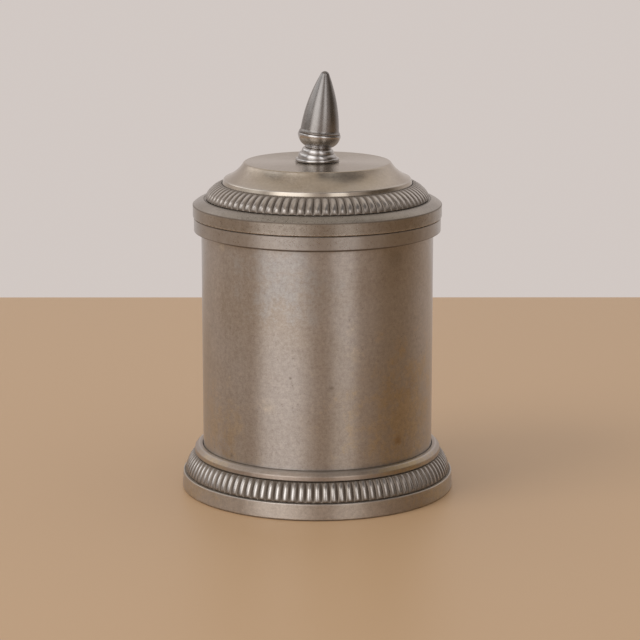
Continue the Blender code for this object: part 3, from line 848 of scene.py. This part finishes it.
# Finial spire: the finial's pointed upper part, turned from the same soft pewter and screwed down on the
# cup, with a fine dark line between them. It has a small flare at its foot, swelling sides and a blunt tip.
# The spire's darker tone is painted shade on the same pewter as the cup.
SHADED_SPIRE_PEWTER = (0.225, 0.213, 0.207, 1)
shaded_spire_metal = pewter("spire_shaded_pewter", tone=SHADED_SPIRE_PEWTER, dullness=0.27, warmth=0.1, polish=0.6, brushed=0.75)
spire_foot = cup_top + PARTING
flare_radius, flare_height = 0.0088, 0.0006
flare_sag = -0.00016
spire_swell = 0.00105
tip_swell = 0.0004
bore_depth = 0.0096
bore_top = cup_top + bore_depth
flare = (flare_radius, spire_foot + flare_height)
shoulder = (0.0082, 0.0139)
tip_foot = (0.0019, 0.0370)
tip = (0, 0.0385)
spire_corners = [
    (0, bore_top, 0, PLAIN),
    (stud_bore, bore_top, 0, PLAIN),
    (stud_bore, spire_foot, 0, PLAIN),
    (flare_radius, spire_foot, 0.0002, PLAIN),
    (*flare, 0, PLAIN),
    *bow(flare, shoulder, flare_sag, 6),
    (*shoulder, 0, PLAIN),
    *bow(shoulder, tip_foot, spire_swell, 30),
    (*tip_foot, 0.0005, PLAIN),
    *bow(tip_foot, tip, tip_swell, 10),
    (*tip, 0, PLAIN),
]
finial_spire = knocked(
    turned("finial_spire_turned", spire_corners, shaded_spire_metal, ring=False, segments=FINIAL_SEGMENTS)
)
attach(finial_spire, "lid")
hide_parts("finial_spire")

# Finial stud: a length of brass rod that goes up through the crown and holds the cup and the spire. Brass
# is harder than pewter, so it takes the thread, and the knock that bent the finial has bent it too.
BRASS = (0.50, 0.36, 0.15, 1)
BROWN_BRASS = (0.22, 0.14, 0.06, 1)
BROWN_CLOUDS, BROWN_EDGE = (320, 4, 0.6), (0.42, 0.70)
FINE_LATHE_LINES = (120, 120, 5200)


def aged_brass(name):
    """Turned brass that has gone brown: lathe lines, brown clouds and dark corners."""
    metal = bpy.data.materials.new(name)
    metal.use_nodes = True
    bench = Wire(metal.node_tree)
    place = bench.add("ShaderNodeTexCoord", {}, {}, "Object")
    clouds = place.noise(*BROWN_CLOUDS)
    lines = place.scaled(*FINE_LATHE_LINES).noise(1, 2, 0.5)
    colour = clouds.between(*BROWN_EDGE).over(BRASS, BROWN_BRASS)
    colour = (bench.attribute(SEAM_AND_SHADE) * 0.7).over(colour, OXIDE_AND_SHADE)
    rough = 0.30 + 0.22 * clouds + 0.10 * lines
    bump = {"Height": 0.004 * lines + 0.006 * clouds, "Distance": BUMP_DEPTH}
    normal = bench.add("ShaderNodeBump", {}, bump)
    surface = metal.node_tree.nodes["Principled BSDF"]
    surface.inputs["Metallic"].default_value = 1
    for socket, wire in (("Base Color", colour), ("Roughness", rough), ("Normal", normal)):
        bench.tree.links.new(wire.socket, surface.inputs[socket])
    return metal


brass_metal = aged_brass("fixing_brass")
stud_radius = 0.0020
STUD_SEGMENTS = 48
stud_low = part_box("finial_stud")[0].z - finial_seat
stud_end_gap = 0.0003
stud_high = bore_top - stud_end_gap
stud_corners = [
    (0, stud_low, 0, PLAIN),
    (stud_radius, stud_low, 0.0004, WEAR),
    *along_bend(stud_radius),
    (stud_radius, stud_high, 0.0004, PLAIN),
    (0, stud_high, 0, PLAIN),
]
finial_stud = knocked(
    turned("finial_stud_brass", stud_corners, brass_metal, ring=False, segments=STUD_SEGMENTS)
)
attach(finial_stud, "lid")
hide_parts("finial_stud")

# Finial washer: a flat brass ring on the stud, between the nut and the underside of the crown. It is
# stamped and smoothed, and it spreads the nut's pull over the thin sheet.
WASHER_SEGMENTS = 64
washer_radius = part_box("finial_washer")[1].x
washer_low, washer_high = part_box("finial_washer")[0].z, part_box("finial_washer")[1].z
washer_corners = [
    (washer_radius, washer_high, 0.0002, PLAIN),
    (washer_radius, washer_low, 0.0003, WEAR),
    (stud_bore, washer_low, 0.0001, SEAM_AND_SHADE),
    (stud_bore, washer_high, 0, PLAIN),
]
finial_washer = turned("finial_washer_brass", washer_corners, brass_metal, segments=WASHER_SEGMENTS)
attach(finial_washer, "lid")
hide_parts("finial_washer")

# Finial nut: a brass hexagon nut, filed to its six flats and turned to a chamfer at both ends. It is screwed
# on the stud's lower end, below the washer, and draws the finial down on the crown.
nut_low, nut_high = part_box("finial_nut")[0].z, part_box("finial_nut")[1].z
NUT_ACROSS_FLATS = 0.0070
NUT_SEGMENTS = 96
CHAMFER_SLOPE = math.tan(math.radians(60))
CHAMFER_START = 1.01  # the chamfer's radius at the nut's ends, in half widths across the flats
HEXAGON_SIDE = math.tau / 6
nut_half = NUT_ACROSS_FLATS / 2
nut_countersink = 0.0003
BORE_MARGIN = 0.0002  # points farther in than this belong to the bore


def hexagonal(piece):
    """Draw a turned nut out to its six flats, keeping the round chamfers of its ends."""
    for vert in piece.data.vertices:
        reach = vert.co.xy.length
        if reach < nut_half - BORE_MARGIN:
            continue
        off_flat = math.atan2(vert.co.y, vert.co.x) % HEXAGON_SIDE - HEXAGON_SIDE / 2
        from_end = min(vert.co.z - nut_low, nut_high - vert.co.z)
        chamfered = nut_half * CHAMFER_START + from_end * CHAMFER_SLOPE
        allowed = min(nut_half / math.cos(off_flat), chamfered)
        vert.co.xy = vert.co.xy * (allowed / reach)
    piece.data.update()
    return piece


nut_corners = [
    (nut_half, nut_high, 0, PLAIN),
    (nut_half, nut_low, 0, WEAR),
    (stud_bore + nut_countersink, nut_low, 0, PLAIN),
    (stud_bore, nut_low + nut_countersink, 0, SEAM_AND_SHADE),
    (stud_bore, nut_high, 0, PLAIN),
]
finial_nut = hexagonal(turned("finial_nut_brass", nut_corners, brass_metal, segments=NUT_SEGMENTS))
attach(finial_nut, "lid")
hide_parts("finial_nut")

# Stage: a plain pale table top that the canister stands on. Its far edge lies behind the canister, and the
# pale wall of the room fills the background above it.
TABLE = (0.490, 0.315, 0.178, 1)
WALL = (0.640, 0.580, 0.550, 1)
table_back = 0.407
table_front = -3.0
table_side = 3.0
table_level = -0.0002  # just clear of the foot
table_mesh = bpy.data.meshes.new("table_top")
table_mesh.from_pydata(
    [
        (-table_side, table_front, table_level),
        (table_side, table_front, table_level),
        (table_side, table_back, table_level),
        (-table_side, table_back, table_level),
    ],
    [],
    [(0, 1, 2, 3)],
)
table = bpy.data.objects.new("table_top", table_mesh)
bpy.context.scene.collection.objects.link(table)
table_finish = bpy.data.materials.new("table_finish")
table_finish.use_nodes = True
table_surface = table_finish.node_tree.nodes["Principled BSDF"]
table_surface.inputs["Base Color"].default_value = TABLE
table_surface.inputs["Roughness"].default_value = 0.42
table_surface.inputs["Specular IOR Level"].default_value = 0.35
table_mesh.materials.append(table_finish)

# Room: even light from all round for what is matt. What shines sees a pale wall with two windows in front
# and a high one on the left, lit side walls, a doorway, a dark corner on the right and a darker ceiling,
# which is darkest on the right.
AMBIENT = (0.80, 0.80, 0.80, 1)
CEILING = (0.56, 0.49, 0.42, 1)
DIM_CEILING = (0.225, 0.208, 0.197, 1)
DOORWAY = (0.41, 0.38, 0.365, 1)
DARK_CORNER = (0.13, 0.105, 0.08, 1)
DAYLIGHT = (1.00, 1.03, 1.05)
LEFT_WINDOW_LIGHT = 1.75
RIGHT_WINDOW_LIGHT = 1.1
HIGH_WINDOW_LIGHT = 1.1
SIDE_WALL_LIGHT = 0.20
BACK_WALL_LIGHT = 0.18
CEILING_LIGHT = 0.14
WINDOW_SILL, WINDOW_HEAD = (-4, 4), (42, 56)  # an edge fades between two angles, in degrees
SIDE_WALL_LOW, SIDE_WALL_HIGH = (4, 20), (56, 74)
CEILING_EDGE, CEILING_MIDDLE = (30, 55), (62, 80)
HIGH_WINDOW_SLANT = 0.55
HIGH_WINDOW_TOP = (90, 98)
world = bpy.data.worlds.new("pale_room")
world.use_nodes = True
bpy.context.scene.world = world
bench = Wire(world.node_tree)
path = bench.add("ShaderNodeLightPath", {}, {}, "Is Camera Ray")
shining = path.math("MAXIMUM", path.other("Is Glossy Ray"), path.other("Is Transmission Ray"))
towards = bench.add("ShaderNodeTexCoord", {}, {}, "Generated")
east = bench.add("ShaderNodeSeparateXYZ", {}, {"Vector": towards}, "X")
north, up = east.other("Y"), east.other("Z")
bearing = east.math("DEGREES", east.math("ARCTAN2", east, 0 - north))  # from the front to the right
rise = up.math("DEGREES", up.math("ARCSINE", up))


def patch(left, right, low=None, high=None):
    """A soft-edged patch of the room between two bearings, and between two heights if they are given."""
    mask = bearing.between(*left) * (1 - bearing.between(*right))
    if low:
        mask = mask * rise.between(*low)
    if high:
        mask = mask * (1 - rise.between(*high))
    return mask


left_window = patch((-70, -47), (-28, 4), WINDOW_SILL, WINDOW_HEAD)
right_window = patch((10, 22), (37, 39), WINDOW_SILL, WINDOW_HEAD)
slanted_rise = rise - HIGH_WINDOW_SLANT * bearing
high_window = patch((-148, -134), (-84, -62), low=(8, 20)) * (1 - slanted_rise.between(*HIGH_WINDOW_TOP))
left_wall = patch((-165, -135), (-118, -108), SIDE_WALL_LOW, SIDE_WALL_HIGH)
right_wall = patch((100, 125), (140, 165), SIDE_WALL_LOW, SIDE_WALL_HIGH)
behind = bearing.math("ABSOLUTE", bearing).between(132, 158)
back_wall = behind * rise.between(20, 34) * (1 - rise.between(58, 72))
doorway = patch((-113, -107), (-80, -50), high=(48, 66))
corner = patch((44, 74), (90, 135), high=(20, 44))
above_right = patch((-6, 8), (95, 118), (40, 50), (68, 82))
room = rise.between(*CEILING_EDGE).over(WALL, CEILING)
room = above_right.over(room, DIM_CEILING)
room = doorway.over(room, DOORWAY)
room = corner.over(room, DARK_CORNER)
light = left_window * LEFT_WINDOW_LIGHT + right_window * RIGHT_WINDOW_LIGHT
light = light + high_window * HIGH_WINDOW_LIGHT
light = light + (left_wall + right_wall) * SIDE_WALL_LIGHT + back_wall * BACK_WALL_LIGHT
light = light + rise.between(*CEILING_MIDDLE) * CEILING_LIGHT
glow = bench.add("ShaderNodeVectorMath", {"operation": "SCALE"}, {0: DAYLIGHT, "Scale": light})
room = bench.mixed(1.0, room, glow, "ADD")
seen = shining.over(AMBIENT, room)
seen = path.over(seen, WALL)
backdrop = world.node_tree.nodes["Background"]
bench.tree.links.new(seen.socket, backdrop.inputs["Color"])

# Lamp: one broad soft lamp high on the left, aimed at the canister's middle. It lights the table and casts
# the soft shadow to the right, and it isn't seen in the metal.
LAMP_BEARING = math.radians(-60)
LAMP_DISTANCE = 1.8
LAMP_HEIGHT = 1.6
LAMP_SIZE = 1.2
LAMP_POWER = 16
LAMP_AIM = Vector((0, 0, 0.08))
lamp_data = bpy.data.lights.new("left_lamp", "AREA")
lamp_data.shape = "RECTANGLE"
lamp_data.size = LAMP_SIZE
lamp_data.size_y = LAMP_SIZE
lamp_data.energy = LAMP_POWER
lamp = bpy.data.objects.new("left_lamp", lamp_data)
lamp_along = LAMP_DISTANCE * math.cos(LAMP_BEARING)
lamp.location = (LAMP_DISTANCE * math.sin(LAMP_BEARING), -lamp_along, LAMP_HEIGHT)
lamp.rotation_euler = (LAMP_AIM - lamp.location).to_track_quat("-Z", "Y").to_euler()
lamp.visible_camera = False
lamp.visible_glossy = False
bpy.context.scene.collection.objects.link(lamp)

# Camera: a long lens about a metre in front of the canister and a little above it. It looks down at the
# photograph's angle, and its small turn puts the canister where it is in the frame there.
CAMERA_LENS = 136.19
CAMERA_SENSOR = 36
CAMERA_PLACE = (0, -1.02605, 0.29231)
LOOK_DOWN = math.radians(12.072)
LOOK_RIGHT = math.radians(0.064)
camera_data = bpy.data.cameras.new("front_view")
camera_data.lens = CAMERA_LENS
camera_data.sensor_width = CAMERA_SENSOR
camera = bpy.data.objects.new("front_view", camera_data)
camera.location = CAMERA_PLACE
camera.rotation_euler = (math.pi / 2 - LOOK_DOWN, 0, -LOOK_RIGHT)
bpy.context.scene.collection.objects.link(camera)
bpy.context.scene.camera = camera
bpy.context.scene.view_settings.view_transform = "Standard"
